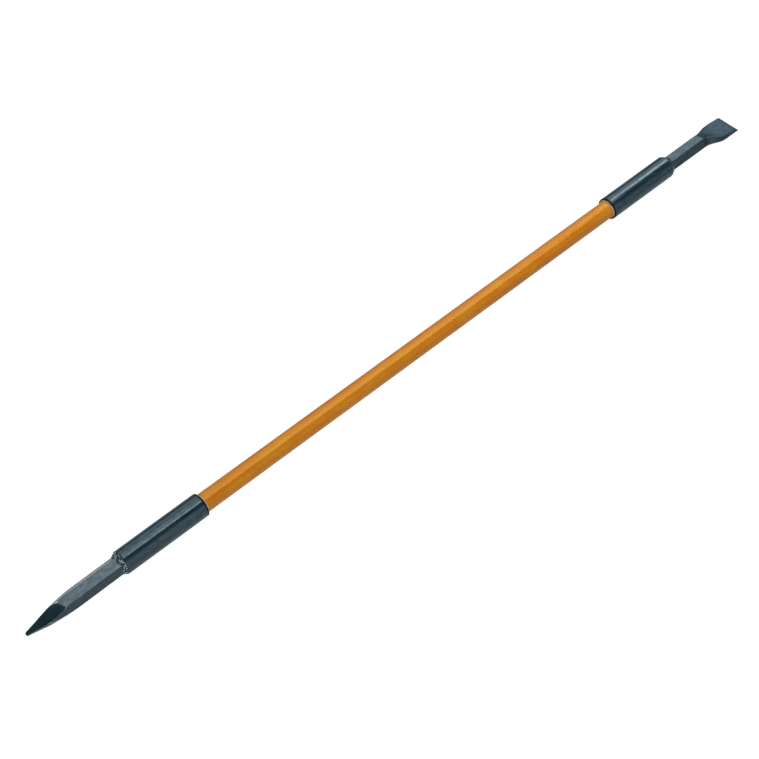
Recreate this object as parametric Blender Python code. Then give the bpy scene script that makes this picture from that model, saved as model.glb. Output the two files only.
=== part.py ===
"""Insulated crowbar, 1.5 m long, with a four-sided point at one end and a chisel blade at the other.

Two hexagon steel bars are welded into steel tube sockets. The sockets are bonded over the ends of a
round shaft, which has a glass-fibre core inside a moulded sheath.

Everything is in metres. X runs from the point to the chisel and Z is up. The crowbar lies on its two
sockets with the blade level, so the floor is at Z 0 and the middle of the length is at X 0.
"""

import math

import bmesh
import bpy
from mathutils import Vector

# Shaft
SHAFT_DIAMETER = 0.030
SHAFT_SHOWN = 0.872
SHEATH_WALL = 0.003

# Sockets, each with its outer edge bevelled under the weld
SOCKET_LENGTH = 0.149
SOCKET_WALL = 0.003
SOCKET_EDGE = 0.0006
SOCKET_BEVEL_LENGTH = 0.0038
SOCKET_BEVEL_DEPTH = 0.0022

# Bond between the shaft and each socket, with the bead that stands out of the mouth and how full it is
BOND_THICKNESS = 0.0005
BEAD_REACH = 0.0020
BEAD_LENGTH = 0.0022
BEAD_BELLY = 0.6

# Hexagon bars
BAR_ACROSS_FLATS = 0.026
BAR_CORNER = 0.0008
TANG_LENGTH = 0.045
TANG_CHAMFER = 0.002

# Point, with distances measured from its tip, how full its cheeks are and how blunt its end is
POINT_SHOWN = 0.164
POINT_ROLL = math.radians(18.7)
POINT_LEAN = math.radians(0.45)
FACET_LENGTH = 0.060
FACET_ROLL = math.radians(5.0)
CHEEK_LENGTH = 0.096
CHEEK_POWER = 1.2
TIP_HALF = 0.0028
TIP_ROUND = 0.003
TIP_BLUNT = 0.45
TIP_DRIFT = 0.0015
POINT_EDGE = 0.0009

# Chisel, with distances measured back from its cutting edge
CHISEL_SHOWN = 0.166
BLADE_WIDTH = 0.0412
EDGE_WIDTH = 0.0438
EDGE_SPREAD = 0.014
EDGE_LAND = 0.0010
EDGE_DROP = 0.0086
BEVEL_LENGTH = 0.007
BLADE_THICKNESS = 0.0085
BLADE_TAPER = math.radians(7.6)
DISH_ANGLE = math.radians(16.8)
DISH_RUN = 0.0415
DISH_BLEND = 0.0025
SIDE_RUN = 0.020
FLARE_LENGTH = 0.060
SQUARE_RUN = 0.036
SQUARE_LENGTH = 0.034
UNDERSIDE_LENGTH = 0.070
UNDERSIDE_RISE = 0.0008
UPPER_CORNER = 0.0009
LOWER_CORNER = 0.0024
SIDE_LAND = 0.0006

# Welds that close the sockets on the bars. Each ripple has its count round the bar, its share and its start
POINT_WELD_LENGTH = 0.0054
POINT_WELD_RIPPLE = 0.0003
CHISEL_WELD_LENGTH = 0.0078
CHISEL_WELD_RIPPLE = 0.00004
WELD_RIPPLES = ((13, 1.0, 0.0), (7, 0.6, 1.3), (29, 0.5, 0.0))

# Clearances: of a piece on its seat, on each side of a bond, and between a tang and the shaft's end
SEAT_GAP = 0.0003
BOND_GAP = 0.00025
TANG_ROOM = 0.010

# Facets of the round pieces and the welds, and steps along the shaped stretches
ROUND_FACETS = 48
WELD_FACETS = 96
WELD_STEPS = 5
TIP_STEPS = 4
CHEEK_STEPS = 16
EDGE_STEPS = 2
FLARE_STEPS = 16

# Rounded corners: points on each, and the most of a side and of the blade's thickness that one takes up
CORNER_POINTS = 3
CORNER_SHARE = 0.45
BLADE_CORNER_SHARE = 0.3

# Edges that turn by more than this stay sharp
SHARP_ANGLE = math.radians(25)

# Sizes that follow from those above
SHAFT_RADIUS = SHAFT_DIAMETER / 2
SHAFT_SEAT = SOCKET_LENGTH - TANG_LENGTH - TANG_ROOM
CORE_RADIUS = SHAFT_RADIUS - SHEATH_WALL - SEAT_GAP
BOND_INNER = SHAFT_RADIUS + BOND_GAP
BOND_OUTER = BOND_INNER + BOND_THICKNESS
BORE_RADIUS = BOND_OUTER + BOND_GAP
SOCKET_RADIUS = BORE_RADIUS + SOCKET_WALL
AXIS_HEIGHT = SOCKET_RADIUS * math.cos(math.pi / ROUND_FACETS)
TANG_REACH = BORE_RADIUS * math.cos(math.pi / ROUND_FACETS) - SEAT_GAP
BAR_FLAT = BAR_ACROSS_FLATS / 2
HEX_SLOPE = math.tan(math.radians(60))
CORNER_REACH = BAR_FLAT / math.cos(math.radians(30))
TOTAL_LENGTH = POINT_SHOWN + CHISEL_SHOWN + 2 * SOCKET_LENGTH + SHAFT_SHOWN

# Stations along X, from the tip of the point to the cutting edge
TIP_X = -TOTAL_LENGTH / 2
POINT_SOCKET_END = TIP_X + POINT_SHOWN
POINT_MOUTH = POINT_SOCKET_END + SOCKET_LENGTH
CHISEL_MOUTH = POINT_MOUTH + SHAFT_SHOWN
CHISEL_SOCKET_END = CHISEL_MOUTH + SOCKET_LENGTH
EDGE_X = CHISEL_SOCKET_END + CHISEL_SHOWN


def clear_scene():
    for item in list(bpy.data.objects):
        bpy.data.objects.remove(item, do_unlink=True)


def material(name, colour, roughness, metallic):
    made = bpy.data.materials.new(name)
    made.use_nodes = True
    shader = made.node_tree.nodes["Principled BSDF"]
    shader.inputs["Base Color"].default_value = (*colour, 1.0)
    shader.inputs["Roughness"].default_value = roughness
    shader.inputs["Metallic"].default_value = metallic
    return made


def tool_axis():
    """An empty on the crowbar's axis, above the floor, which carries every piece."""
    axis = bpy.data.objects.new("tool_axis", None)
    axis.location.z = AXIS_HEIGHT
    bpy.context.collection.objects.link(axis)
    return axis


def point_axis(axis):
    """An empty at the inner end of the point's tang, rolled and leaned as the point bar was welded."""
    lean = bpy.data.objects.new("point_axis", None)
    lean.parent = axis
    lean.location.x = POINT_SOCKET_END + TANG_LENGTH
    lean.rotation_mode = "ZYX"
    lean.rotation_euler = (POINT_ROLL, 0, POINT_LEAN)
    bpy.context.collection.objects.link(lean)
    return lean


def add_piece(name, shape, axis, finish):
    """Turns a bmesh into a named object on an axis, smooth except at its real edges."""
    mesh = bpy.data.meshes.new(name)
    bmesh.ops.recalc_face_normals(shape, faces=shape.faces)
    shape.to_mesh(mesh)
    shape.free()
    mesh.materials.append(finish)
    mesh.shade_smooth()
    mesh.set_sharp_from_angle(angle=SHARP_ANGLE)
    piece = bpy.data.objects.new(name, mesh)
    piece.parent = axis
    if axis.parent:
        piece.location.x = -axis.location.x
    bpy.context.collection.objects.link(piece)
    return piece


def add_helper(name, shape, axis):
    """A cutter or other helper, which shows as a wire and isn't part of the crowbar."""
    helper = add_piece(name, shape, axis, None)
    helper.hide_render = True
    helper.display_type = "WIRE"
    return helper


def combine(piece, helper, operation):
    step = piece.modifiers.new(operation.lower(), "BOOLEAN")
    step.operation = operation
    step.object = helper


def loft(rings, closed=False):
    """Joins rings that have as many points each. Its two ends are capped unless it closes on itself."""
    shape = bmesh.new()
    loops = [[shape.verts.new(point) for point in ring] for ring in rings]
    pairs = list(zip(loops, loops[1:]))
    if closed:
        pairs.append((loops[-1], loops[0]))
    for near, far in pairs:
        for i in range(len(near)):
            j = (i + 1) % len(near)
            shape.faces.new((near[i], near[j], far[j], far[i]))
    if not closed:
        shape.faces.new(loops[0])
        shape.faces.new(loops[-1])
    return shape


def revolve(profile, closed=False):
    """Turns a profile of (x, radius) about the axis, with a facet, not an edge, facing the floor."""
    step = math.tau / ROUND_FACETS
    angles = [(i + 0.5) * step for i in range(ROUND_FACETS)]
    rings = [[(x, r * math.sin(a), -r * math.cos(a)) for a in angles] for x, r in profile]
    return loft(rings, closed)


def rounded(corners, radius):
    """A convex outline with an arc in place of each corner, narrower where its sides are short."""
    outline = []
    for i, corner in enumerate(corners):
        back = corners[i - 1] - corner
        ahead = corners[(i + 1) % len(corners)] - corner
        half = back.angle(ahead) / 2
        cut = min(radius / math.tan(half), CORNER_SHARE * back.length, CORNER_SHARE * ahead.length)
        middle = (back.normalized() + ahead.normalized()).normalized()
        centre = corner + middle * cut / math.cos(half)
        first = corner + back.normalized() * cut - centre
        last = corner + ahead.normalized() * cut - centre
        for k in range(CORNER_POINTS):
            outline.append(centre + first.slerp(last, k / (CORNER_POINTS - 1)) * first.length)
    return outline


def tube(corners, edge):
    """A tube over a profile of (x, radius) corners, each rounded by the given edge."""
    return revolve(rounded([Vector(corner) for corner in corners], edge), closed=True)


def rolled(outline, angle):
    """An outline of (y, z) points turned about the axis, from +Y towards +Z."""
    c = math.cos(angle)
    s = math.sin(angle)
    return [Vector((y * c - z * s, y * s + z * c)) for y, z in outline]


def ring_at(x, outline):
    return [(x, y, z) for y, z in outline]


def hexagon(flat, corner):
    """Outline of a hexagon bar with one flat on top."""
    reach = flat / math.cos(math.radians(30))
    angles = [math.radians(60 * i) for i in range(6)]
    return rounded([Vector((reach * math.cos(a), reach * math.sin(a))) for a in angles], corner)


def turned(outline, radius):
    """An outline with whatever reaches past a radius turned down to it."""
    return [point * min(1, radius / point.length) for point in outline]


def tang_rings(outline, socket_end, inward, lean):
    """Rings of the part of a bar that is inside its socket, from its inner end to the socket's end."""
    inner_end = socket_end + inward * TANG_LENGTH
    body = turned(outline, TANG_REACH - TANG_LENGTH * math.tan(lean))
    tip = [point * (1 - TANG_CHAMFER / BAR_FLAT) for point in body]
    return [
        ring_at(inner_end, tip),
        ring_at(inner_end - inward * TANG_CHAMFER, body),
        ring_at(socket_end - inward * SEAT_GAP / 2, body),
        ring_at(socket_end - inward * SEAT_GAP, outline),
    ]


def spread(first, last, count):
    return [first + (last - first) * i / count for i in range(count + 1)]


def eased(share):
    share = min(1.0, max(0.0, share))
    return share * share * (3 - 2 * share)


def mixed(low, high, share):
    return low + (high - low) * share


# Point


def point_section(run):
    """Outline of the tapering envelope that the point is ground to, at a distance from the tip.

    The two facets, above and below, are flat. The two cheeks, at the sides, bulge slightly."""
    height = mixed(TIP_HALF, BAR_FLAT, run / FACET_LENGTH)
    bulge = math.sin(math.pi / 2 * min(1.0, run / CHEEK_LENGTH)) ** CHEEK_POWER
    width = mixed(TIP_HALF, CORNER_REACH + SEAT_GAP, bulge)
    swell = mixed(TIP_BLUNT, 1.0, math.sqrt(1 - (1 - min(1.0, run / TIP_ROUND)) ** 2))
    drift = -TIP_DRIFT * (1 - min(1.0, run / CHEEK_LENGTH))
    y = width * swell
    z = height * swell
    corners = [Vector((y, -z)), Vector((y, z)), Vector((-y, z)), Vector((-y, -z))]
    outline = rounded(corners, POINT_EDGE * swell)
    return rolled([point + Vector((drift, 0)) for point in outline], FACET_ROLL)


def point_envelope():
    """A closed solid that is the point's own shape up to its cheeks' end and clears the bar after it."""
    runs = spread(0, TIP_ROUND, TIP_STEPS) + spread(TIP_ROUND, CHEEK_LENGTH, CHEEK_STEPS)[1:]
    rings = [ring_at(TIP_X + run, point_section(run)) for run in runs]
    past_tang = POINT_SOCKET_END + TANG_LENGTH + TANG_CHAMFER
    rings.append(ring_at(past_tang, point_section(CHEEK_LENGTH)))
    return loft(rings)


def point_bar(axis, finish):
    outline = hexagon(BAR_FLAT, BAR_CORNER)
    rings = tang_rings(outline, POINT_SOCKET_END, 1, POINT_LEAN)
    rings.append(ring_at(TIP_X - TIP_ROUND, outline))
    bar = add_piece("point_bar", loft(rings), axis, finish)
    combine(bar, add_helper("point_grind", point_envelope(), axis), "INTERSECT")
    return bar


# Chisel


def blade_underside(run):
    """Height of the lower face, which rises a little from the bar's flat towards the bevel."""
    share = (UNDERSIDE_LENGTH - run) / (UNDERSIDE_LENGTH - BEVEL_LENGTH)
    return -BAR_FLAT + UNDERSIDE_RISE * max(0.0, share)


def dish_steepening():
    """How much more the dished slope rises than the thin blade before it."""
    return math.tan(DISH_ANGLE) - math.tan(BLADE_TAPER)


def blade_top(run):
    """Height of the upper face: a thin blade, then a dished slope up to the bar's own flat."""
    at_bevel = blade_underside(BEVEL_LENGTH) + BLADE_THICKNESS
    blade = at_bevel + math.tan(BLADE_TAPER) * (run - BEVEL_LENGTH)
    bend = DISH_BLEND * math.log1p(math.exp((run - DISH_RUN) / DISH_BLEND))
    return min(BAR_FLAT, blade + dish_steepening() * bend)


def dish_start():
    """How far back from the cutting edge the dished slope, straight by then, meets the bar's upper flat."""
    rise = BAR_FLAT - blade_top(DISH_RUN) + DISH_BLEND * math.log(2) * dish_steepening()
    return DISH_RUN + rise / math.tan(DISH_ANGLE)


def blade_heights(run):
    """Heights of the lower and upper faces, closing to the cutting edge over the bevel."""
    share = min(1.0, run / BEVEL_LENGTH)
    beyond = max(run, BEVEL_LENGTH)
    low = mixed(-EDGE_DROP - EDGE_LAND / 2, blade_underside(beyond), share)
    high = mixed(-EDGE_DROP + EDGE_LAND / 2, blade_top(beyond), share)
    return low, high


def blade_half_width(run):
    spare = (EDGE_WIDTH - BLADE_WIDTH) / 2 * max(0.0, 1 - run / EDGE_SPREAD) ** 2
    return BLADE_WIDTH / 2 + spare


def chisel_section(run):
    """Outline of the chisel bar, a hexagon that is forged into a wide flat blade."""
    low, high = blade_heights(run)
    flared = eased((SIDE_RUN + FLARE_LENGTH - run) / FLARE_LENGTH)
    forged = eased((SQUARE_RUN + SQUARE_LENGTH - run) / SQUARE_LENGTH)
    upper = min(UPPER_CORNER, BLADE_CORNER_SHARE * (high - low))
    lower = min(LOWER_CORNER, BLADE_CORNER_SHARE * (high - low))
    side = mixed(CORNER_REACH - SIDE_LAND / 2 / HEX_SLOPE, blade_half_width(run), flared)
    side_top = mixed(SIDE_LAND / 2, high - upper, forged)
    side_foot = mixed(-SIDE_LAND / 2, low + lower, forged)
    top = mixed(CORNER_REACH - high / HEX_SLOPE, side - upper, forged)
    foot = mixed(CORNER_REACH + low / HEX_SLOPE, side - lower, forged)
    right = [(foot, low), (side, side_foot), (side, side_top), (top, high)]
    left = [(-y, z) for y, z in reversed(right)]
    return rounded([Vector(point) for point in right + left], BAR_CORNER)


def chisel_bar(axis, finish):
    runs = spread(0, BEVEL_LENGTH, EDGE_STEPS) + spread(BEVEL_LENGTH, EDGE_SPREAD, EDGE_STEPS)[1:]
    runs += spread(EDGE_SPREAD, SIDE_RUN, EDGE_STEPS)[1:]
    runs += spread(SIDE_RUN, SIDE_RUN + FLARE_LENGTH, FLARE_STEPS)[1:]
    runs += [dish_start(), dish_start() + BAR_CORNER]
    rings = [ring_at(EDGE_X - run, chisel_section(run)) for run in runs]
    rings += reversed(tang_rings(chisel_section(CHISEL_SHOWN), CHISEL_SOCKET_END, -1, 0))
    return add_piece("chisel_bar", loft(rings), axis, finish)


# Sockets and their welds


def weld_wave(angle):
    """How far the ripples of a weld stand out at an angle round the bar, as a share of their height."""
    return sum(share * math.sin(count * angle + start) for count, share, start in WELD_RIPPLES)


def weld(name, socket_end, outward, length, ripple, axis, passage_axis, finish):
    """A weld on the socket's end face that slopes down to the hexagon and lets its corners through."""
    outer = SOCKET_RADIUS - SOCKET_BEVEL_DEPTH - ripple
    start = socket_end + outward * SEAT_GAP
    rings = []
    for step in range(WELD_STEPS + 1):
        share = step / WELD_STEPS
        x = start + outward * length * share
        height = ripple * math.sin(math.pi * (step + 1) / (WELD_STEPS + 2))
        ring = []
        for i in range(WELD_FACETS):
            angle = math.tau * i / WELD_FACETS
            radius = mixed(outer, BAR_FLAT, share) + height * weld_wave(angle)
            ring.append((x, radius * math.cos(angle), radius * math.sin(angle)))
        rings.append(ring)
    bead = add_piece(name, loft(rings), axis, finish)
    passage = hexagon(BAR_FLAT + SEAT_GAP, BAR_CORNER)
    ends = (start - outward * length, start + 2 * outward * length)
    cutter = add_helper(name + "_passage", loft([ring_at(x, passage) for x in ends]), passage_axis)
    combine(bead, cutter, "DIFFERENCE")
    return bead


def socket(name, mouth, socket_end, inward, axis, finish):
    """A tube from its mouth to its welded end, where the outer edge is bevelled."""
    corners = [
        (mouth, BORE_RADIUS),
        (socket_end, BORE_RADIUS),
        (socket_end, SOCKET_RADIUS - SOCKET_BEVEL_DEPTH),
        (socket_end + inward * SOCKET_BEVEL_LENGTH, SOCKET_RADIUS),
        (mouth, SOCKET_RADIUS),
    ]
    return add_piece(name, tube(corners, SOCKET_EDGE), axis, finish)


def bond(name, mouth, inward, axis, finish):
    """A thin sleeve of resin round the shaft, with a bead that fills the corner at the mouth."""
    seat = mouth + inward * SHAFT_SEAT
    bead_start = mouth - inward * SEAT_GAP
    bead_end = bead_start - inward * BEAD_LENGTH
    profile = [
        (seat, BOND_INNER),
        (seat, BOND_OUTER),
        (bead_start, BOND_OUTER),
        (bead_start, BOND_INNER + BEAD_REACH),
        (mixed(bead_start, bead_end, BEAD_BELLY), BOND_INNER + BEAD_BELLY * BEAD_REACH),
        (bead_end, BOND_INNER),
    ]
    return add_piece(name, revolve(profile, closed=True), axis, finish)


# Shaft


def shaft(axis, sheath_finish, core_finish):
    near = POINT_MOUTH - SHAFT_SEAT
    far = CHISEL_MOUTH + SHAFT_SEAT
    bore = CORE_RADIUS + SEAT_GAP
    corners = [(near, bore), (far, bore), (far, SHAFT_RADIUS), (near, SHAFT_RADIUS)]
    add_piece("shaft_sheath", tube(corners, SEAT_GAP), axis, sheath_finish)
    add_piece("shaft_core", revolve([(near, CORE_RADIUS), (far, CORE_RADIUS)]), axis, core_finish)


def build():
    clear_scene()
    axis = tool_axis()
    leaned = point_axis(axis)
    steel = material("painted_steel", (0.075, 0.105, 0.125), 0.32, 0.25)
    weld_metal = material("weld_metal", (0.060, 0.075, 0.085), 0.45, 0.35)
    orange = material("orange_sheath", (0.700, 0.225, 0.020), 0.28, 0.0)
    fibre = material("glass_fibre", (0.620, 0.560, 0.380), 0.50, 0.0)
    resin = material("bonding_resin", (0.560, 0.450, 0.250), 0.40, 0.0)

    point_bar(leaned, steel)
    socket("point_socket", POINT_MOUTH, POINT_SOCKET_END, 1, axis, steel)
    weld("point_weld", POINT_SOCKET_END, -1, POINT_WELD_LENGTH, POINT_WELD_RIPPLE, axis, leaned, weld_metal)
    bond("point_bond", POINT_MOUTH, -1, axis, resin)

    shaft(axis, orange, fibre)

    bond("chisel_bond", CHISEL_MOUTH, 1, axis, resin)
    weld("chisel_weld", CHISEL_SOCKET_END, 1, CHISEL_WELD_LENGTH, CHISEL_WELD_RIPPLE, axis, axis, weld_metal)
    socket("chisel_socket", CHISEL_MOUTH, CHISEL_SOCKET_END, -1, axis, steel)
    chisel_bar(axis, steel)


build()
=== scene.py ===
"""Looks of an insulated crowbar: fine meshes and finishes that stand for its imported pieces.

Two hexagon steel bars, one ground to a point and one forged to a chisel blade, are welded into
steel tube sockets. The sockets are bonded over a round orange shaft. Steel and welds carry one coat
of black paint with a blue cast. Everything is in metres. X runs from the point to the chisel and Z
is up.
"""

import math

import bmesh
import bpy
from mathutils import Matrix, Vector, noise


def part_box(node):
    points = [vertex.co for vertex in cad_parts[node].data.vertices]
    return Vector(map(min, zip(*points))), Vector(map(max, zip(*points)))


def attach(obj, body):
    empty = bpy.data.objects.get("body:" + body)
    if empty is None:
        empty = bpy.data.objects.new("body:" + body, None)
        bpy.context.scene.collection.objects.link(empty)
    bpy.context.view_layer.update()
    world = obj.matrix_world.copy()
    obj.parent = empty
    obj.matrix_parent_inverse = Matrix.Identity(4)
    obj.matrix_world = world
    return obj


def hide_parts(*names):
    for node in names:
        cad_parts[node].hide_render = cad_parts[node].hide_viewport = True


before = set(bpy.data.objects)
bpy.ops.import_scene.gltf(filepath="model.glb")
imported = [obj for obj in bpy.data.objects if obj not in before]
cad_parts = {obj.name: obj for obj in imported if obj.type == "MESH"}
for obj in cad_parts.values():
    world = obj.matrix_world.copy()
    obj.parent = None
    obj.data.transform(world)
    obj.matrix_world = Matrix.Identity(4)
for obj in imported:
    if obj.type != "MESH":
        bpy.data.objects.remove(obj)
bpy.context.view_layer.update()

MM = 0.001

# Camera
CAMERA_PLACE = Vector((-1.3376, -1.3109, 2.1444))
CAMERA_AIM = Vector((-0.0900, -0.0072, 0.0196))
CAMERA_LENS = 87.24

# Hexagon bars. The flat is half the width across flats. A wall bounds a section only in directions
# whose cosine to it is above GRAZING.
BAR_FLAT = 13.0 * MM
BAR_CORNER = 0.8 * MM
HEX_SLOPE = math.tan(math.radians(60))
CORNER_REACH = BAR_FLAT / math.cos(math.radians(30))
TANG_LENGTH = 45.0 * MM
TANG_REACH = 15.2 * MM
HEX_FACINGS = [math.radians(30 + 60 * i) for i in range(6)]
GRAZING = 0.1

# Point, with distances measured from its tip
POINT_ROLL = math.radians(18.7)
POINT_LEAN = math.radians(0.45)
FACET_LENGTH = 60.0 * MM
FACET_ROLL = math.radians(5.0)
CHEEK_LENGTH = 96.0 * MM
CHEEK_POWER = 1.2
CHEEK_SPARE = 0.3 * MM
TIP_HALF = 2.8 * MM
TIP_ROUND = 3.0 * MM
TIP_BLUNT = 0.45
TIP_DRIFT = 1.5 * MM
TIP_INSET = 0.02 * MM
GROUND_EDGE = 0.16 * MM
WORN_EDGE = 0.9 * MM
WEAR_PAST_POINT = 0.62
GRIND_WAVE = 0.08 * MM
GRIND_SIZE = 13.0 * MM
POINT_ANGLES = 216
TIP_RINGS = 8
POINT_STEP = 0.8 * MM
POINT_BAR_STEP = 4.0 * MM

# Chisel, with distances measured back from its cutting edge. BLADE_SIDES gives the points between
# the corners of its outline.
BLADE_WIDTH = 41.2 * MM
EDGE_WIDTH = 43.7 * MM
EDGE_SPREAD = 14.0 * MM
EDGE_LAND = 1.0 * MM
EDGE_DROP = 8.6 * MM
BEVEL_LENGTH = 7.0 * MM
BLADE_THICKNESS = 8.5 * MM
BLADE_TAPER = math.tan(math.radians(7.6))
BLADE_CROWN = 0.9 * MM
CROWN_PAST_DISH = 3.0 * MM
CROWN_FADE = 20.0 * MM
DISH_TAPER = math.tan(math.radians(16.8))
DISH_RUN = 41.5 * MM
DISH_BLEND = 2.5 * MM
DISH_EDGE = 0.12 * MM
DISH_LEAN = 0.12
DISH_HOLLOW = 0.4 * MM
HOLLOW_START = 15.0 * MM
HOLLOW_END = 18.0 * MM
SIDE_RUN = 26.0 * MM
SIDE_LAND = 0.6 * MM
FLARE_LENGTH = 52.0 * MM
SQUARE_RUN = 36.0 * MM
SQUARE_LENGTH = 34.0 * MM
UNDERSIDE_LENGTH = 70.0 * MM
UNDERSIDE_RISE = 0.8 * MM
UPPER_CORNER = 0.9 * MM
LOWER_CORNER = 2.4 * MM
CORNER_SHARE = 0.3
CHISEL_WEAR = 0.8
FORGE_WAVE = 0.09 * MM
FORGE_SIZE = 11.0 * MM
FORGE_SIDE_SIZE = 14.0 * MM
FORGE_PAST_DISH = 12.0 * MM
FORGE_FADE = 30.0 * MM
BLADE_SIDES = (8, 4, 8, 14, 8, 4, 8, 14)
BEVEL_STEP = 0.8 * MM
BLADE_STEP = 0.9 * MM
FINE_PAST_DISH = 3.0 * MM
CHISEL_BAR_STEP = 6.0 * MM

# Round pieces
ROUND_ANGLES = 128
SOCKET_WALL = 3.0 * MM
SOCKET_STEP = 5.0 * MM
SEAM_EDGE = 0.4 * MM
RIM_EDGE = 1.0 * MM
RIM_INSET = 0.1 * MM
POINT_RIM = 2.8 * MM
CHISEL_RIM = 2.3 * MM
BEVEL_DEPTH = 2.2 * MM
BEVEL_RUN = 3.8 * MM
TUBE_DENT = 0.03 * MM
CORE_BORE = 12.0 * MM
SHAFT_EDGE = 0.3 * MM
SHAFT_STEP = 20.0 * MM
SHAFT_DENT = 0.015 * MM
DENT_SIZE = 12.0 * MM
DENT_DRAWN = 0.4

# Welds, which lap the bevelled ends of the sockets. A grid is a count of angles and one of rows.
# Heights and depths in a weld's relief are in millimetres.
WELD_LAP = 3.4 * MM
WELD_FILLET = 0.30 * MM
WELD_GIRTH = 16.0 * MM
WELD_CREST = 1.6 * MM
WELD_HEAD_SINK = 0.12 * MM
WELD_FOOT_SINK = 0.3 * MM
WELD_CORNER_SINK = 0.25 * MM
WELD_CLEARANCE = 0.03 * MM
POINT_WELD_LENGTH = 5.6 * MM
POINT_WELD_GRID = (300, 40)
RIPPLE_PITCH = 2.6 * MM
RIPPLE_BOW = 2.2
RIPPLE_HEIGHT = 0.9
BLOB_HEIGHT = 0.7
BLOB_SIZE = 2.4 * MM
BLOB_SPREAD = 0.5
PIT_DEPTH = 1.3
PIT_SIZE = 3.1 * MM
PIT_SPREAD = 0.4
PIT_SHIFT = Vector((7, 3, 5))
LUMP_HEIGHT = 0.6
LUMP_SIZE = 4.5 * MM
GRIT_HEIGHT = 0.4
GRIT_SIZE = 1.5 * MM
CHISEL_WELD_LENGTH = 7.6 * MM
CHISEL_WELD_GRID = (180, 30)
CONE_BELLY = 0.25
CONE_RINGS = 7
CONE_RING_HEIGHT = 0.03
CONE_LUMP_HEIGHT = 0.12
CONE_LUMP_SIZE = 5.0 * MM

# Adhesive beads
BEAD_REACH = 2.3 * MM
BEAD_LENGTH = 3.0 * MM
BEAD_WAIST_REACH = 0.42
BEAD_WAIST_LENGTH = 0.30
BEAD_LAP = 0.1 * MM
BEAD_DEPTH = 0.5 * MM
BEAD_SINK = 0.05 * MM
BEAD_STEP = 0.1
BEAD_WAVE = 0.16
BEAD_WAVE_SIZE = 7.0 * MM
BEAD_RIPPLE = 0.08
BEAD_RIPPLE_SIZE = 2.0 * MM

# Places that read their noise this far apart are uneven in unlike ways
WALLS_APART = 0.05
BEADS_APART = 0.03

# Edges that turn by more than SHARP_TURN stay sharp. The arc of a rounded corner has ARC_POINTS and
# takes at most ARC_SHARE of a side.
SHARP_TURN = math.radians(50)
ARC_POINTS = 5
ARC_SHARE = 0.45


def span(node):
    """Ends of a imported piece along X, its radius and the height of its middle."""
    low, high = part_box(node)
    return low.x, high.x, (high.z - low.z) / 2, (high.z + low.z) / 2


POINT_SOCKET_END, POINT_MOUTH, SOCKET_RADIUS, AXIS_HEIGHT = span("point_socket")
CHISEL_MOUTH, CHISEL_SOCKET_END, _, _ = span("chisel_socket")
SHAFT_START, SHAFT_END, SHAFT_RADIUS, _ = span("shaft_sheath")
POINT_BOND_SEAT = span("point_bond")[0]
CHISEL_BOND_SEAT = span("chisel_bond")[1]
TIP_X = span("point_bar")[0]
EDGE_X = span("chisel_bar")[1]
BORE_RADIUS = SOCKET_RADIUS - SOCKET_WALL
RIM_RADIUS = SOCKET_RADIUS - RIM_INSET


# Nodes


class Term:
    """A value that varies over a surface. Arithmetic on it adds Math nodes."""

    def __init__(self, pattern, socket):
        self.pattern = pattern
        self.socket = socket

    def __add__(self, other):
        return self.pattern.math("ADD", self, other)

    def __radd__(self, other):
        return self.pattern.math("ADD", other, self)

    def __sub__(self, other):
        return self.pattern.math("SUBTRACT", self, other)

    def __rsub__(self, other):
        return self.pattern.math("SUBTRACT", other, self)

    def __mul__(self, other):
        return self.pattern.math("MULTIPLY", self, other)

    def __rmul__(self, other):
        return self.pattern.math("MULTIPLY", other, self)


class Pattern:
    """A node tree, and short ways to add what the finishes are made of."""

    def __init__(self, tree):
        self.tree = tree

    def node(self, kind, settings, sockets, output=0):
        """Adds any node: its settings first, then the values or links of its sockets."""
        made = self.tree.nodes.new(kind)
        for name, value in settings.items():
            setattr(made, name, value)
        for name, value in sockets.items():
            self.feed(made.inputs[name], value)
        return Term(self, made.outputs[output])

    def feed(self, socket, value):
        """Links a term to a socket, or sets the socket to a plain value."""
        if isinstance(value, Term):
            self.tree.links.new(value.socket, socket)
        else:
            socket.default_value = value

    def math(self, operation, first, second=0.0):
        return self.node("ShaderNodeMath", {"operation": operation}, {0: first, 1: second})

    def part(self, vector, axis):
        """X, Y or Z of a vector."""
        return self.node("ShaderNodeSeparateXYZ", {}, {0: vector}, axis)

    def between(self, value, low, high):
        """0 below low, 1 above high and a smooth step between them."""
        sockets = {"Value": value, "From Min": low, "From Max": high}
        return self.node("ShaderNodeMapRange", {"interpolation_type": "SMOOTHSTEP"}, sockets)

    def shaders(self, under, over, share):
        """One shader over another by a share."""
        return self.node("ShaderNodeMixShader", {}, {0: share, 1: under, 2: over})

    def ray(self, kind):
        """1 where the ray that looks at the surface is of a kind."""
        return self.node("ShaderNodeLightPath", {}, {}, f"Is {kind} Ray")


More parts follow.
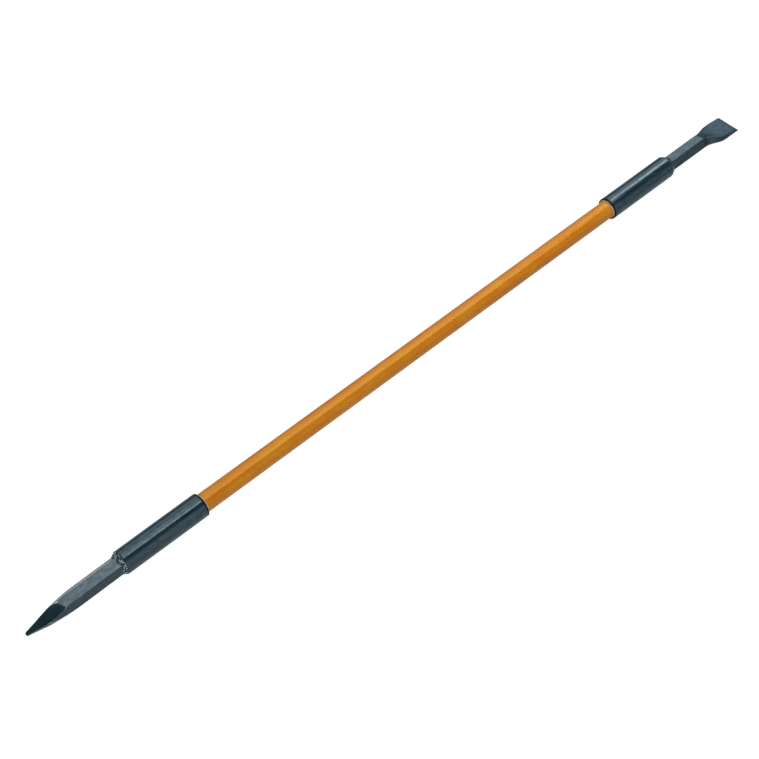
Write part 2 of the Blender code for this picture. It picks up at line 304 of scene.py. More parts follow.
class Finish(Pattern):
    """A material with one surface shader, whose sockets the pattern feeds."""

    def __init__(self, name):
        self.material = bpy.data.materials.new(name)
        self.material.use_nodes = True
        super().__init__(self.material.node_tree)
        self.shader = self.tree.nodes["Principled BSDF"]

    def set(self, **sockets):
        """Feeds the shader's own sockets, with _ for each space in a name."""
        for name, value in sockets.items():
            self.feed(self.shader.inputs[name.replace("_", " ")], value)

    def grain(self, size, drawn=1.0, detail=2.0, rough=0.5, twist=0.0):
        """Noise from 0 to 1 whose lumps are about a size across. A drawn below 1 draws them out in
        X."""
        point = self.node("ShaderNodeTexCoord", {}, {}, "Object")
        scaled = {"Vector": point, "Scale": (drawn, 1.0, 1.0)}
        sockets = {
            "Vector": self.node("ShaderNodeMapping", {}, scaled),
            "Scale": 1 / size,
            "Detail": detail,
            "Roughness": rough,
            "Distortion": twist,
        }
        return self.node("ShaderNodeTexNoise", {}, sockets)

    def painted(self, under, over, share):
        """One colour over another by a share."""
        return self.node("ShaderNodeMix", {"data_type": "RGBA"}, {0: share, 6: under, 7: over}, 2)

    def skin_edge_value(self):
        """The edge value of a skin, from 0 to 1: how near a worn edge is on a bar or tube, how high
        a weld stands, which sets the painted shade in its pits, or how thin the adhesive runs out,
        which sets the painted shade against the socket."""
        return self.node("ShaderNodeAttribute", {"attribute_name": "edge"}, {}, "Fac")

    def relief(self, height, depth, under=None):
        """A normal from a height of 0 to 1 over a depth in metres, on top of the one under it."""
        sockets = {"Height": height, "Distance": depth}
        if under:
            sockets["Normal"] = under
        return self.node("ShaderNodeBump", {}, sockets)


# Finishes

PAINT_DEEP = (0.0050, 0.0160, 0.0225, 1.0)
PAINT_PALE = (0.0165, 0.0360, 0.0460, 1.0)
# Near-black that stands for painted shade, in the gap at a socket's mouth and in a weld's pits
PAINT_SHADE = (0.0040, 0.0050, 0.0055, 1.0)
PAINT_RUBBED = (0.0300, 0.0400, 0.0430, 1.0)
PAINT_GLINT = (0.66, 0.88, 1.0, 1.0)
# Dark brown patches on the painted shade of a socket's rim
RIM_BROWN = (0.0180, 0.0110, 0.0060, 1.0)
BARE_STEEL = (0.40, 0.42, 0.43, 1.0)
BRIGHT_STEEL = (0.78, 0.86, 0.90, 1.0)
ORANGE_DEEP = (0.548, 0.129, 0.0037, 1.0)
ORANGE_PALE = (0.568, 0.210, 0.0068, 1.0)
ORANGE_SPECK = (0.310, 0.105, 0.0100, 1.0)
ORANGE_GLINT = (1.0, 0.90, 0.27, 1.0)
# Dark brown that stands for painted shade where the adhesive meets the socket
RESIN_SHADE = (0.050, 0.025, 0.010, 1.0)
RESIN_BROWN = (0.26, 0.15, 0.055, 1.0)
RESIN_BEIGE = (0.56, 0.40, 0.19, 1.0)
RESIN_THIN = (0.38, 0.150, 0.022, 1.0)
RESIN_BUBBLE = (0.16, 0.09, 0.04, 1.0)
FIBRE_DEEP = (0.42, 0.36, 0.20, 1.0)
FIBRE_PALE = (0.66, 0.60, 0.42, 1.0)

DENT_DEPTH = 0.06 * MM
MARK_DEPTH = 0.05 * MM
PEEL_DEPTH = 0.008 * MM
RIM_PATCH_DEPTH = 0.15 * MM
WELD_GRAIN_DEPTH = 0.20 * MM
DRAW_LINE_DEPTH = 0.03 * MM
RESIN_DEPTH = 0.25 * MM
STRAND_DEPTH = 0.05 * MM


def black_paint(name, texture, roughness, wear):
    """Black paint on steel: a slow cloud in the coat, a fine peel, the steel's own marks under it,
    and steel that shows where the edges are worn.

    Texture is how rough the steel is under the paint. The steel shows where the edge value times
    noise is above wear."""
    paint = Finish(name)
    cloud = paint.between(paint.grain(16 * MM, 0.45, 5.0, 0.65), 0.28, 0.72)
    dents = paint.grain(7 * MM, 0.45, 3.0)
    peel = paint.grain(1.1 * MM, detail=1.0)
    drawn = paint.grain(1.6 * MM, 0.06, 3.0)
    pits = paint.between(paint.grain(3.4 * MM, detail=4.0, rough=0.65), 0.62, 0.74)
    scuffs = paint.between(paint.grain(6 * MM, 0.18, 5.0, 0.7, 1.5), 0.60, 0.70)
    mottle = paint.grain(6 * MM, 0.6, 4.0, 0.7)
    edge = paint.skin_edge_value()
    bare = paint.between(edge * paint.grain(4 * MM, detail=4.0, rough=0.7), wear, wear + 0.06)

    coat = paint.painted(PAINT_DEEP, PAINT_PALE, cloud * 0.5 + drawn * (0.3 * texture) + 0.1)
    coat = paint.painted(coat, PAINT_RUBBED, (scuffs * 0.35 + edge * 0.25) * texture)
    marks = paint.relief(dents, DENT_DEPTH)
    marks = paint.relief(drawn * 0.6 + (1.0 - pits) * 0.4, MARK_DEPTH * texture, marks)
    paint.set(
        Base_Color=paint.painted(coat, BARE_STEEL, bare),
        Metallic=bare * 0.9,
        Roughness=roughness + cloud * 0.07 + scuffs * 0.10 + bare * 0.10,
        Specular_Tint=PAINT_GLINT,
        Coat_Weight=paint.between(mottle, 0.35, 0.70) * 0.50,
        Coat_Roughness=0.10,
        Normal=paint.relief(peel, PEEL_DEPTH, marks),
    )
    return paint.material


def painted_shade_rim():
    """Edge of a socket's mouth, painted near-black and dull as painted shade for the shade in the
    gap there, and dark brown in patches.
    """
    rim = Finish("black_rim_painted_shade")
    rim_patches = rim.grain(3 * MM, detail=4.0, rough=0.6)
    rim.set(
        # Painted shade: the rim is near-black for the shade in the gap at the mouth.
        Base_Color=rim.painted(PAINT_SHADE, RIM_BROWN, rim.between(rim_patches, 0.45, 0.70)),
        Roughness=0.45 + rim_patches * 0.3,
        Specular_IOR_Level=0.12,
        Normal=rim.relief(rim_patches, RIM_PATCH_DEPTH),
    )
    return rim.material


def shaded_weld_coat():
    """Black paint over a rough weld: near-black in the pits as painted shade, paler and glossy on
    the ripples, with specks of bright metal."""
    coat = Finish("black_weld_paint_with_pit_shade")
    crest = coat.skin_edge_value()
    speck = coat.grain(1.6 * MM, detail=3.0, rough=0.6)
    bare = coat.between(crest + speck, 1.26, 1.35)
    # Painted shade: the paint goes near-black where the weld sinks into pits and valleys, and stays
    # paler on the ripples.
    colour = coat.painted(PAINT_SHADE, PAINT_PALE, coat.between(crest, 0.30, 0.75))
    coat.set(
        Base_Color=coat.painted(colour, BRIGHT_STEEL, bare),
        Metallic=bare * 0.9,
        Roughness=0.48 - coat.between(crest, 0.25, 0.60) * 0.30 + bare * 0.06,
        Specular_Tint=PAINT_GLINT,
        Normal=coat.relief(speck, WELD_GRAIN_DEPTH),
    )
    return coat.material


def orange_plastic():
    """Glossy orange plastic with lengthwise draw lines, patches that turn yellow or red, specks
    and a few rubbed places."""
    sheath = Finish("orange_plastic")
    shade = sheath.between(sheath.grain(18 * MM, 0.35, 4.0, 0.6), 0.30, 0.70)
    lines = sheath.grain(1.3 * MM, 0.02, 3.0, 0.6)
    specks = sheath.between(sheath.grain(2.4 * MM), 0.68, 0.78)
    rubbed = sheath.between(sheath.grain(12 * MM, 0.3, 5.0, 0.7, 1.0), 0.58, 0.70)
    colour = sheath.painted(ORANGE_DEEP, ORANGE_PALE, shade * 0.7 + lines * 0.3)
    sheath.set(
        Base_Color=sheath.painted(colour, ORANGE_SPECK, specks * 0.5),
        Roughness=0.20 + shade * 0.04 + rubbed * 0.14,
        Specular_IOR_Level=0.47,
        Specular_Tint=ORANGE_GLINT,
        Normal=sheath.relief(lines, DRAW_LINE_DEPTH),
    )
    return sheath.material


def adhesive():
    """Set adhesive that was squeezed out of a joint: darkened against the socket as painted shade
    in the crease there, then a patchy, slightly glossy beige, with the shaft's orange showing
    through where it runs out thin."""
    resin = Finish("tan_adhesive_shaded_at_socket")
    patches = resin.grain(4 * MM, detail=4.0, rough=0.6)
    bubbles = resin.between(resin.grain(1.1 * MM, detail=1.0), 0.62, 0.74)
    near_shaft = resin.skin_edge_value() + patches * 0.2 - 0.1
    colour = resin.painted(RESIN_BROWN, RESIN_BEIGE, resin.between(patches, 0.30, 0.65))
    # Painted shade: the adhesive goes dark where it meets the socket's rim.
    colour = resin.painted(RESIN_SHADE, colour, resin.between(near_shaft, 0.08, 0.26))
    colour = resin.painted(colour, RESIN_THIN, resin.between(near_shaft, 0.38, 0.75) * 0.9)
    resin.set(
        Base_Color=resin.painted(colour, RESIN_BUBBLE, bubbles * 0.5),
        Roughness=0.35 + patches * 0.2,
        Normal=resin.relief(patches * 0.7 + (1.0 - bubbles) * 0.3, RESIN_DEPTH),
    )
    return resin.material


def glass_fibre():
    """Drawn rod of glass fibre in resin, with its strands along it."""
    rod = Finish("glass_fibre_rod")
    strands = rod.grain(0.7 * MM, 0.03, 3.0)
    rod.set(
        Base_Color=rod.painted(FIBRE_DEEP, FIBRE_PALE, strands),
        Roughness=0.45 + strands * 0.15,
        Normal=rod.relief(strands, STRAND_DEPTH),
    )
    return rod.material


# Shapes


def mixed(low, high, share):
    return low + (high - low) * share


def eased(share):
    """A share held between 0 and 1, with a smooth start and end."""
    share = min(1.0, max(0.0, share))
    return share * share * (3 - 2 * share)


def softly_least(values, blend):
    """The least value, rounded off by a blend where two are nearly the same."""
    least = min(values)
    return least - blend * math.log(sum(math.exp((least - value) / blend) for value in values))


def stations(first, last, step):
    """Even places about a step apart, from first to last."""
    count = max(1, round(abs(last - first) / step))
    return [mixed(first, last, i / count) for i in range(count + 1)]


def lumps(point, size):
    """Smooth noise from -1 to 1 whose lumps are about a size across."""
    return noise.noise(Vector(point) / size)


def rounded(corners, radius, sides):
    """A convex outline with an arc in place of each corner and, after each, as many more points as
    sides says.

    Also gives how near each point is to the middle of an edge."""
    arcs = []
    for i, corner in enumerate(corners):
        back = corners[i - 1] - corner
        ahead = corners[(i + 1) % len(corners)] - corner
        half = back.angle(ahead) / 2
        most = ARC_SHARE * min(back.length, ahead.length)
        cut = min(radius / math.tan(half), most)
        middle = (back.normalized() + ahead.normalized()).normalized()
        centre = corner + middle * cut / math.cos(half)
        first = corner + back.normalized() * cut - centre
        last = corner + ahead.normalized() * cut - centre
        turns = [first.slerp(last, k / (ARC_POINTS - 1)) for k in range(ARC_POINTS)]
        arcs.append([centre + turn * first.length for turn in turns])
    outline = []
    wear = []
    for i, arc in enumerate(arcs):
        after = arcs[(i + 1) % len(arcs)][0]
        steps = range(1, sides[i] + 1)
        shares = [(1 - math.cos(math.pi * k / (sides[i] + 1))) / 2 for k in steps]
        outline += arc + [arc[-1].lerp(after, share) for share in shares]
        wear += [math.sin(math.pi * (k + 1) / (ARC_POINTS + 1)) for k in range(ARC_POINTS)]
        wear += [0.0] * sides[i]
    return outline, wear


def skin(name, rings, wear, material, node, closed=False):
    """A smooth mesh over rings of points, placed from the crowbar's axis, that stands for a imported
    node. Its ends are capped, unless it is closed and the last ring joins the first."""
    count = len(rings[0])
    shape = bmesh.new()
    edge = shape.verts.layers.float.new("edge")
    loops = []
    for ring, values in zip(rings, wear):
        loop = [shape.verts.new((x, y, z + AXIS_HEIGHT)) for x, y, z in ring]
        for vertex, value in zip(loop, values):
            vertex[edge] = value
        loops.append(loop)
    for near, far in zip(loops, loops[1:] + loops[:1] if closed else loops[1:]):
        for i in range(count):
            j = (i + 1) % count
            shape.faces.new((near[i], near[j], far[j], far[i]))
    if not closed:
        shape.faces.new(loops[0])
        shape.faces.new(loops[-1])
    bmesh.ops.recalc_face_normals(shape, faces=shape.faces)
    mesh = bpy.data.meshes.new(name)
    shape.to_mesh(mesh)
    shape.free()
    mesh.materials.append(material)
    mesh.shade_smooth()
    mesh.set_sharp_from_angle(angle=SHARP_TURN)
    piece = bpy.data.objects.new(name, mesh)
    bpy.context.scene.collection.objects.link(piece)
    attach(piece, "root")
    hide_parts(node)


def around_axis():
    """Directions (y, z) round the crowbar's axis, from its lowest side."""
    angles = [math.tau * (i + 0.5) / ROUND_ANGLES for i in range(ROUND_ANGLES)]
    return [(math.sin(angle), -math.cos(angle)) for angle in angles]


def turned(profile, dent):
    """Rings of a profile of (x, radius) points turned about the axis. A dent lets the wall
    wander inwards."""
    rings = []
    for x, radius in profile:
        ring = []
        for y, z in around_axis():
            hollow = lumps((x * DENT_DRAWN, y * radius, z * radius), DENT_SIZE)
            reach = radius - dent * (0.5 + 0.5 * hollow)
            ring.append((x, y * reach, z * reach))
        rings.append(ring)
    return rings


def tube(name, corners, edge, step, dent, finish, node):
    """A tube over a profile of (x, radius) corners, whose outer wall is the side after the last
    corner but one."""
    corners = [Vector(corner) for corner in corners]
    sides = [1] * len(corners)
    sides[-2] = round(abs(corners[-1].x - corners[-2].x) / step)
    profile, wear = rounded(corners, edge, sides)
    wear = [[value] * ROUND_ANGLES for value in wear]
    skin(name, turned(profile, dent), wear, finish, node, closed=True)


def shaft_tube(plastic):
    corners = [
        (SHAFT_START, CORE_BORE),
        (SHAFT_END, CORE_BORE),
        (SHAFT_END, SHAFT_RADIUS),
        (SHAFT_START, SHAFT_RADIUS),
    ]
    tube(
        "shaft_tube",
        corners,
        edge=SHAFT_EDGE,
        step=SHAFT_STEP,
        dent=SHAFT_DENT,
        finish=plastic,
        node="shaft_sheath",
    )


def socket_tube(node, mouth, end, rim, paint, rim_shade_finish):
    """A socket from its mouth to its welded end, where its outer edge is bevelled. A rim at the
    mouth carries painted shade: a dull near-black finish."""
    inward = math.copysign(1, end - mouth)
    start = mouth + inward * rim
    corners = [
        (start, BORE_RADIUS),
        (end, BORE_RADIUS),
        (end, SOCKET_RADIUS - BEVEL_DEPTH),
        (end - inward * BEVEL_RUN, SOCKET_RADIUS),
        (start, SOCKET_RADIUS),
    ]
    tube(
        node + "_tube",
        corners,
        edge=SEAM_EDGE,
        step=SOCKET_STEP,
        dent=TUBE_DENT,
        finish=paint,
        node=node,
    )
    # The rim at the mouth gets the painted shade finish.
    tube(
        node + "_rim",
        [(mouth, BORE_RADIUS), (start, BORE_RADIUS), (start, RIM_RADIUS), (mouth, RIM_RADIUS)],
        edge=min(RIM_EDGE, rim),
        step=rim,
        dent=0.0,
        finish=rim_shade_finish,
        node=node,
    )


# Point bar


def on_point():
    """Where the point bar's own axes lie: rolled and leaned about the inner end of its tang."""
    hinge = Vector((POINT_SOCKET_END + TANG_LENGTH, 0, 0))
    turn = Matrix.Rotation(POINT_ROLL, 4, "X") @ Matrix.Rotation(POINT_LEAN, 4, "Z")
    return Matrix.Translation(hinge) @ turn @ Matrix.Translation(-hinge)


def point_walls(run):
    """Walls of the point bar at a distance from the tip, as the angle that each faces and how far
    it is, and the middle of the section: six flats, then the cheeks and facets by turns."""
    ground = min(1.0, run / CHEEK_LENGTH)
    drift = -TIP_DRIFT * (1 - ground)
    middle = Vector((math.cos(FACET_ROLL), math.sin(FACET_ROLL))) * drift
    walls = []
    for facing in HEX_FACINGS:
        far = BAR_FLAT - middle.x * math.cos(facing) - middle.y * math.sin(facing)
        walls.append((facing, far))
    height = mixed(TIP_HALF, BAR_FLAT, run / FACET_LENGTH)
    bulge = math.sin(math.pi / 2 * ground) ** CHEEK_POWER
    width = mixed(TIP_HALF, CORNER_REACH + CHEEK_SPARE, bulge)
    tip = min(1.0, run / TIP_ROUND)
    swell = mixed(TIP_BLUNT, 1.0, math.sqrt(1 - (1 - tip) ** 2))
    for i, reach in enumerate((width, height, width, height)):
        wave = GRIND_WAVE * tip * lumps((run, WALLS_APART * i, 0), GRIND_SIZE)
        walls.append((FACET_ROLL + i * math.pi / 2, reach * swell + wave))
    return walls, middle


def point_ring(x, run):
    """Outline of the point bar at a distance from its tip, and its wear: 1 on a ridge at the
    tip."""
    walls, middle = point_walls(run)
    ring = []
    wear = []
    most = mixed(1.0, WEAR_PAST_POINT, min(1.0, run / CHEEK_LENGTH))
    for i in range(POINT_ANGLES):
        angle = math.tau * (i + 0.5) / POINT_ANGLES
        leans = [(far, math.cos(angle - facing)) for facing, far in walls]
        reaches = [far / lean for far, lean in leans if lean > GRAZING]
        reach = softly_least(reaches, GROUND_EDGE)
        y = middle.x + reach * math.cos(angle)
        z = middle.y + reach * math.sin(angle)
        ring.append(Vector((x, y, z)))
        short = min(reaches) - softly_least(reaches, WORN_EDGE)
        wear.append(most * short / (WORN_EDGE * math.log(2)))
    return ring, wear


def point_bar(paint):
    tip_x = TIP_X + TIP_INSET
    runs = [TIP_ROUND * (i / TIP_RINGS) ** 2 for i in range(TIP_RINGS)]
    runs += stations(TIP_ROUND, CHEEK_LENGTH, POINT_STEP)
    runs += stations(CHEEK_LENGTH, POINT_SOCKET_END - TIP_X, POINT_BAR_STEP)[1:]
    rings, wear = zip(*[point_ring(tip_x + run, run) for run in runs])
    tang = []
    for p in rings[-1]:
        tang.append(Vector((0, p.y, p.z)) * min(1.0, TANG_REACH / math.hypot(p.y, p.z)))
    ends = (POINT_SOCKET_END, POINT_SOCKET_END + TANG_LENGTH)
    rings = list(rings) + [[Vector((x, p.y, p.z)) for p in tang] for x in ends]
    wear = list(wear) + [[0.0] * POINT_ANGLES] * 2
    place = on_point()
    rings = [[place @ point for point in ring] for ring in rings]
    skin("point_bar_ground", rings, wear, paint, "point_bar")


# Chisel bar


def blade_underside(run):
    """Height of the lower face, which rises a little from the bar's flat towards the bevel."""
    share = (UNDERSIDE_LENGTH - run) / (UNDERSIDE_LENGTH - BEVEL_LENGTH)
    return -BAR_FLAT + UNDERSIDE_RISE * max(0.0, share)


def blade_slope(run):
    """Height of the upper face if it never met the bar's upper flat: a thin blade, then a
    dished slope."""
    at_bevel = blade_underside(BEVEL_LENGTH) + BLADE_THICKNESS
    bend = DISH_BLEND * math.log1p(math.exp((run - DISH_RUN) / DISH_BLEND))
    return at_bevel + BLADE_TAPER * (run - BEVEL_LENGTH) + (DISH_TAPER - BLADE_TAPER) * bend


# How far back from the cutting edge the dished slope, straight by then, meets the bar's upper flat
DISH_BEND = DISH_BLEND * math.log(2) * (DISH_TAPER - BLADE_TAPER)
DISH_END = DISH_RUN + (BAR_FLAT - blade_slope(DISH_RUN) + DISH_BEND) / DISH_TAPER


def blade_outline(run, low, high):
    """Corners of the chisel bar between its lower and upper face: flared and square at the blade,
    and hexagonal at the socket. Also gives how far its side and its upper corner reach."""
    flared = eased((SIDE_RUN + FLARE_LENGTH - run) / FLARE_LENGTH)
    forged = eased((SQUARE_RUN + SQUARE_LENGTH - run) / SQUARE_LENGTH)
    upper = min(UPPER_CORNER, CORNER_SHARE * (high - low))
    lower = min(LOWER_CORNER, CORNER_SHARE * (high - low))
    spare = (EDGE_WIDTH - BLADE_WIDTH) / 2 * max(0.0, 1 - run / EDGE_SPREAD) ** 2
    side = mixed(CORNER_REACH - SIDE_LAND / 2 / HEX_SLOPE, BLADE_WIDTH / 2 + spare, flared)
    side_top = mixed(SIDE_LAND / 2, high - upper, forged)
    side_foot = mixed(-SIDE_LAND / 2, low + lower, forged)
    top = mixed(CORNER_REACH - high / HEX_SLOPE, side - upper, forged)
    foot = mixed(CORNER_REACH + low / HEX_SLOPE, side - lower, forged)
    right = [(foot, low), (side, side_foot), (side, side_top), (top, high)]
    left = [(-y, z) for y, z in reversed(right)]
    return [Vector(point) for point in right + left], side, top


def blade_ring(run):
    """Outline of the chisel bar at a distance back from its cutting edge, and its wear."""
    share = min(1.0, run / BEVEL_LENGTH)
    beyond = max(run, BEVEL_LENGTH)
    blade_top = softly_least([BAR_FLAT, blade_slope(beyond)], DISH_EDGE)
    low = mixed(-EDGE_DROP - EDGE_LAND / 2, blade_underside(beyond), share)
    high = mixed(-EDGE_DROP + EDGE_LAND / 2, blade_top, share)
    corners, side, top = blade_outline(run, low, high)
    outline, wear = rounded(corners, BAR_CORNER, BLADE_SIDES)
    x = EDGE_X - run
    hollow = DISH_HOLLOW * eased((run - BEVEL_LENGTH) / HOLLOW_START)
    hollow *= eased((DISH_END - run) / HOLLOW_END)
    forge = FORGE_WAVE * share * eased((DISH_END + FORGE_PAST_DISH - run) / FORGE_FADE)
    crown = BLADE_CROWN * share * eased((DISH_END + CROWN_PAST_DISH - run) / CROWN_FADE)
    lean = DISH_LEAN * eased((run - DISH_RUN) / (DISH_END - DISH_RUN))
    middle = mixed(low, high, 0.5)
    ring = []
    for y, z in outline:
        if z > middle:
            across = min(1.0, abs(y) / top)
            leaned_top = softly_least([BAR_FLAT, blade_slope(beyond) - lean * y], DISH_EDGE)
            lift = leaned_top - blade_top
            z += lift * (z - middle) / (high - middle)
            y -= math.copysign(max(0.0, lift) / HEX_SLOPE * across**3, y)
            dip = hollow * (1 - across**2) + crown * across**5
            z -= (z - middle) / (high - middle) * dip
        face = WALLS_APART if z > middle else -WALLS_APART
        z += forge * lumps((x, y, face), FORGE_SIZE)
        bump = lumps((x, math.copysign(WALLS_APART, y), z), FORGE_SIDE_SIZE)
        y -= forge * y / side * (0.5 + 0.5 * bump)
        ring.append((x, y, z))
    return ring, [CHISEL_WEAR * value for value in wear]


def chisel_bar(paint):
    fine_end = DISH_END + FINE_PAST_DISH
    runs = stations(0, BEVEL_LENGTH, BEVEL_STEP)
    runs += stations(BEVEL_LENGTH, fine_end, BLADE_STEP)[1:]
    runs += stations(fine_end, EDGE_X - CHISEL_SOCKET_END, CHISEL_BAR_STEP)[1:]
    rings, wear = zip(*[blade_ring(run) for run in runs])
    tang = [(y, z, min(1.0, TANG_REACH / math.hypot(y, z))) for _, y, z in rings[-1]]
    ends = (CHISEL_SOCKET_END, CHISEL_SOCKET_END - TANG_LENGTH)
    rings = list(rings) + [[(x, y * share, z * share) for y, z, share in tang] for x in ends]
    wear = list(wear) + [[0.0] * len(tang)] * 2
    skin("chisel_bar_forged", rings, wear, paint, "chisel_bar")


# Welds


def hexagon_reach(angle, roll, middle):
    """How far the hexagon's surface is from the axis at an angle about it."""
    reaches = []
    for flat in HEX_FACINGS:
        facing = roll + flat
        lean = math.cos(angle - facing)
        if lean > GRAZING:
            far = BAR_FLAT + middle.y * math.cos(facing) + middle.z * math.sin(facing)
            reaches.append(far / lean)
    return min(reaches)


def on_weld(angle, share, length):
    """Where on an even weld its noise is read."""
    along = share * (length + WELD_LAP)
    return Vector((along, WELD_GIRTH * math.cos(angle), WELD_GIRTH * math.sin(angle)))


def rough_bead(angle, share):
    """How far the short hand weld stands out: crescent ripples, blobs of metal, pits and uneven
    lumps, less at both ends."""
    ripples = round(math.tau * WELD_GIRTH / RIPPLE_PITCH)
    bow = RIPPLE_BOW * (share - 0.5) ** 2 * math.pi
    crescent = abs(math.sin(angle * ripples / 2 + bow)) - 0.5
    point = on_weld(angle, share, POINT_WELD_LENGTH)
    blob = max(0.0, 1 - noise.voronoi(point / BLOB_SIZE)[0][0] / BLOB_SPREAD)
    pit = max(0.0, 1 - noise.voronoi(point / PIT_SIZE + PIT_SHIFT)[0][0] / PIT_SPREAD)
    rise = RIPPLE_HEIGHT * crescent + BLOB_HEIGHT * blob - PIT_DEPTH * pit
    rise += LUMP_HEIGHT * lumps(point, LUMP_SIZE)
    rise += GRIT_HEIGHT * lumps(point, GRIT_SIZE)
    return MM * rise * math.sin(math.pi * (0.10 + 0.80 * share))


def smooth_cone(angle, share):
    """How far the long weld stands out: dressed smooth, with a slight belly and faint rings."""
    point = on_weld(angle, share, CHISEL_WELD_LENGTH)
    belly = CONE_BELLY * math.sin(math.pi * share)
    rings = CONE_RING_HEIGHT * math.sin(math.tau * share * CONE_RINGS)
    return MM * (belly + rings + CONE_LUMP_HEIGHT * lumps(point, CONE_LUMP_SIZE))


def weld(name, end, way, length, rise, roll, middle, grid, paint, node):
    """A weld that laps the socket's bevel, slopes down to the bar and lets the hexagon's
    corners through."""
    angles, rows = grid
    most = SOCKET_RADIUS - WELD_CLEARANCE
    rings = []
    wear = []
    for row in range(rows + 1):
        share = row / rows
        slope = mixed(SOCKET_RADIUS - WELD_HEAD_SINK, BAR_FLAT - WELD_FOOT_SINK, share)
        x = end + way * mixed(-WELD_LAP, length, share)
        ring = []
        crests = []
        for i in range(angles):
            angle = math.tau * i / angles
            bar = hexagon_reach(angle, roll, middle) - WELD_CORNER_SINK
            height = rise(angle, share)
            reach = -softly_least([-min(slope + height, most), -bar], WELD_FILLET)
            ring.append((x, reach * math.cos(angle), reach * math.sin(angle)))
            crests.append(min(1.0, max(0.0, 0.5 + height / WELD_CREST)))
        rings.append(ring)
        wear.append(crests)
    skin(name, rings, wear, paint, node)


# Adhesive beads


def bead(name, mouth, seat, thin, resin, node):
    """Adhesive in the gap of a joint, with an uneven fillet that laps the socket's end and the
    shaft. Thin is how thin it runs out over the shaft, from 0 to 1."""
    way = 1 if seat > mouth else -1
    inner = SHAFT_RADIUS - BEAD_SINK
    hidden = [(seat, inner), (seat, BORE_RADIUS), (mouth + BEAD_DEPTH * way, BORE_RADIUS)]
    fillet = stations(0, 1, BEAD_STEP)
    rings = [[] for _ in range(len(fillet) + len(hidden))]
    for y, z in around_axis():
        around = (BEADS_APART * way, y * SHAFT_RADIUS, z * SHAFT_RADIUS)
        uneven = 1 + BEAD_WAVE * lumps(around, BEAD_WAVE_SIZE)
        uneven += BEAD_RIPPLE * lumps(around, BEAD_RIPPLE_SIZE)
        lap = Vector((mouth + BEAD_LAP * way, inner + BEAD_REACH * uneven))
        waist_x = mouth - BEAD_WAIST_LENGTH * BEAD_LENGTH * way
        waist = Vector((waist_x, inner + BEAD_WAIST_REACH * BEAD_REACH))
        toe = Vector((mouth - BEAD_LENGTH * uneven * way, inner))
        profile = [lap.lerp(waist, share).lerp(waist.lerp(toe, share), share) for share in fillet]
        for ring, (x, reach) in zip(rings, profile + hidden):
            ring.append((x, y * reach, z * reach))
    # The edge value is 0 at the socket, where the finish paints shade, and rises to thin at the
    # shaft.
    near_shaft = [[share * thin] * ROUND_ANGLES for share in fillet]
    near_shaft += [[0.0] * ROUND_ANGLES] * len(hidden)
    skin(name, rings, near_shaft, resin, node, closed=True)


# Floor, light and camera

WHITE = (1.0, 1.0, 1.0, 1.0)
WALL_COLOUR = (0.88, 0.98, 1.03, 1.0)
FAR_COLOUR = (0.66, 0.92, 1.14, 1.0)
FLOOR_PALE = (0.745, 0.77, 0.785, 1.0)
FLOOR_PALEST = (0.775, 0.80, 0.815, 1.0)
FLOOR_AT_SHAFT = (0.47, 0.51, 0.55, 1.0)
FLOOR_BEHIND = (0.25, 0.26, 0.27, 1.0)
FLOOR_AT_CHISEL = (0.07, 0.09, 0.11, 1.0)
FLOOR_GLOW = 1.35
FLOOR_HALF = 6.0

# Lamps hang at one height. Each has a stretch of X, one of Y and a strength. LAMP_WATTS is how many
# watts to a square metre make a strength of 1.
LAMP_HEIGHT = 1.6
LAMP_WATTS = 4
LAMPS = {
    "lamp_front": ((-0.10, 1.55), (-0.40, 0.02), 3.35),
    "lamp_front_side": ((-0.50, -0.10), (-0.40, 0.02), 2.8),
    "lamp_point_end": ((-1.00, 0.27), (0.02, 0.75), 0.95),
    "lamp_middle": ((0.27, 1.25), (0.02, 0.75), 1.55),
    "lamp_back": ((0.33, 1.60), (0.75, 1.25), 0.55),
    "lamp_chisel_end": ((1.56, 2.05), (0.15, 0.76), 3.9),
    "lamp_chisel_back": ((1.70, 2.25), (0.76, 1.25), 0.9),
}


def floor():
    """A plain pale floor that the camera sees as white. What the crowbar mirrors of it is darker
    behind the crowbar and towards the chisel."""
    pale = Finish("pale_floor")
    mottle = pale.grain(0.25, detail=3.0)
    place = pale.node("ShaderNodeTexCoord", {}, {}, "Object")
    along = pale.part(place, "X")
    behind = pale.between(pale.part(place, "Y"), 0.01, 0.05)
    at_chisel = pale.between(along, 0.62, 0.79)
    colour = pale.painted(FLOOR_PALE, FLOOR_PALEST, mottle)
    colour = pale.painted(colour, FLOOR_AT_SHAFT, pale.between(along, -0.40, 0.50))
    colour = pale.painted(colour, FLOOR_BEHIND, behind * pale.between(along, -0.58, -0.50))
    colour = pale.painted(colour, FLOOR_AT_CHISEL, at_chisel)
    pale.set(Base_Color=colour, Roughness=0.8)

    glow = pale.node("ShaderNodeEmission", {}, {"Color": WHITE, "Strength": FLOOR_GLOW})
    at_point = 1.0 - pale.between(along, -0.58, -0.40)
    shiny = 0.08 - at_chisel * 0.08 + behind * at_point * 0.30
    seen = pale.ray("Camera") * (at_chisel * 0.05 + 0.71) + pale.ray("Glossy") * shiny
    surface = pale.shaders(Term(pale, pale.shader.outputs[0]), glow, seen)
    pale.feed(pale.tree.nodes["Material Output"].inputs["Surface"], surface)

    half = FLOOR_HALF
    corners = [(-half, -half, 0), (half, -half, 0), (half, half, 0), (-half, half, 0)]
    mesh = bpy.data.meshes.new("floor")
    mesh.from_pydata(corners, [], [(0, 1, 2, 3)])
    mesh.materials.append(pale.material)
    ground = bpy.data.objects.new("floor", mesh)
    bpy.context.scene.collection.objects.link(ground)


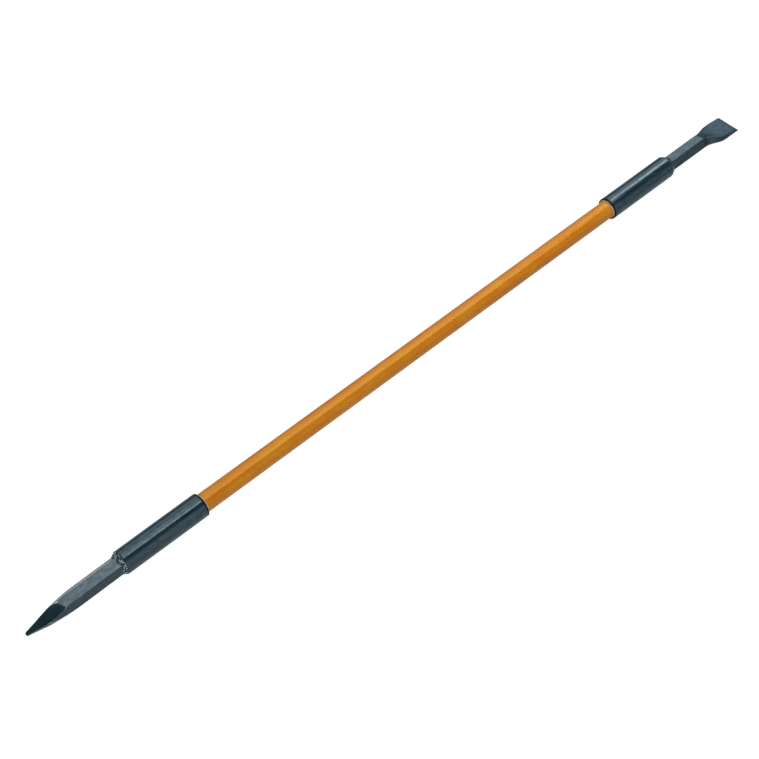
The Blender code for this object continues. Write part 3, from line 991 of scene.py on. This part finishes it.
def room():
    """A plain studio round the floor: pale in front, dark above that, and a long pale wash over the
    far side that fades towards the horizon. The camera sees it as plain white."""
    world = bpy.data.worlds.new("studio")
    bpy.context.scene.world = world
    world.use_nodes = True
    walls = Pattern(world.node_tree)
    facing = walls.node("ShaderNodeTexCoord", {}, {}, "Generated")
    ahead = walls.part(facing, "X")
    climb = walls.math("ARCTAN2", walls.part(facing, "Z"), walls.part(facing, "Y") * -1.0)

    def glow(strength, colour=WALL_COLOUR):
        return walls.node("ShaderNodeBackground", {}, {"Color": colour, "Strength": strength})

    def climbing(low, high):
        """A step between two heights, in degrees from the front over the top to the back."""
        return walls.between(climb, math.radians(low), math.radians(high))

    wash = climbing(82, 110)
    layers = (
        (glow(0.66), walls.between(ahead, 0.30, 0.65)),
        (glow(0.03), climbing(30, 53)),
        (glow(0.70), wash),
        (glow(1.40), wash * walls.between(ahead, -0.15, 0.30)),
        (glow(1.08, FAR_COLOUR), wash * walls.between(ahead, 0.55, 0.85)),
        (glow(0.75, FAR_COLOUR), wash * walls.between(ahead, 0.80, 0.93)),
        (glow(0.06), climbing(145, 171)),
        (glow(1.0, WHITE), walls.ray("Camera")),
    )
    around = glow(1.15)
    for layer, share in layers:
        around = walls.shaders(around, layer, share)
    walls.feed(world.node_tree.nodes["World Output"].inputs["Surface"], around)


def soft_box(name, across, along, strength):
    """A rectangular lamp that faces straight down over a stretch of X and one of Y."""
    data = bpy.data.lights.new(name, "AREA")
    data.shape = "RECTANGLE"
    data.size = across[1] - across[0]
    data.size_y = along[1] - along[0]
    data.energy = LAMP_WATTS * strength * data.size * data.size_y
    lamp = bpy.data.objects.new(name, data)
    lamp.location = (sum(across) / 2, sum(along) / 2, LAMP_HEIGHT)
    lamp.visible_camera = False
    bpy.context.scene.collection.objects.link(lamp)


def camera():
    data = bpy.data.cameras.new("camera")
    data.lens = CAMERA_LENS
    placed = bpy.data.objects.new("camera", data)
    placed.location = CAMERA_PLACE
    placed.rotation_euler = (CAMERA_AIM - CAMERA_PLACE).to_track_quat("-Z", "Y").to_euler()
    bpy.context.scene.collection.objects.link(placed)
    bpy.context.scene.camera = placed


# Making

tube_paint = black_paint("black_paint_on_tube", texture=0.5, roughness=0.11, wear=0.52)
bar_paint = black_paint("black_paint_on_bar", texture=1.0, roughness=0.19, wear=0.42)
weld_coat_and_shade = shaded_weld_coat()
# Painted shade for the rim at each socket's mouth
rim_shade_paint = painted_shade_rim()
resin = adhesive()

shaft_tube(orange_plastic())
socket_tube("point_socket", POINT_MOUTH, POINT_SOCKET_END, POINT_RIM, tube_paint, rim_shade_paint)
socket_tube("chisel_socket", CHISEL_MOUTH, CHISEL_SOCKET_END, CHISEL_RIM, tube_paint, rim_shade_paint)
bead("point_adhesive", POINT_MOUTH, POINT_BOND_SEAT, 0.50, resin, "point_bond")
bead("chisel_adhesive", CHISEL_MOUTH, CHISEL_BOND_SEAT, 1.0, resin, "chisel_bond")
point_bar(bar_paint)
chisel_bar(bar_paint)
weld(
    "point_weld_bead",
    end=POINT_SOCKET_END,
    way=-1,
    length=POINT_WELD_LENGTH,
    rise=rough_bead,
    roll=POINT_ROLL,
    middle=on_point() @ Vector((POINT_SOCKET_END - POINT_WELD_LENGTH / 2, 0, 0)),
    grid=POINT_WELD_GRID,
    paint=weld_coat_and_shade,
    node="point_weld",
)
weld(
    "chisel_weld_cone",
    end=CHISEL_SOCKET_END,
    way=1,
    length=CHISEL_WELD_LENGTH,
    rise=smooth_cone,
    roll=0.0,
    middle=Vector((0, 0, 0)),
    grid=CHISEL_WELD_GRID,
    paint=tube_paint,
    node="chisel_weld",
)
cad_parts["shaft_core"].data.materials[0] = glass_fibre()

floor()
room()
for name, (across, along, strength) in LAMPS.items():
    soft_box(name, across, along, strength)
camera()

bpy.context.scene.view_settings.view_transform = "Standard"
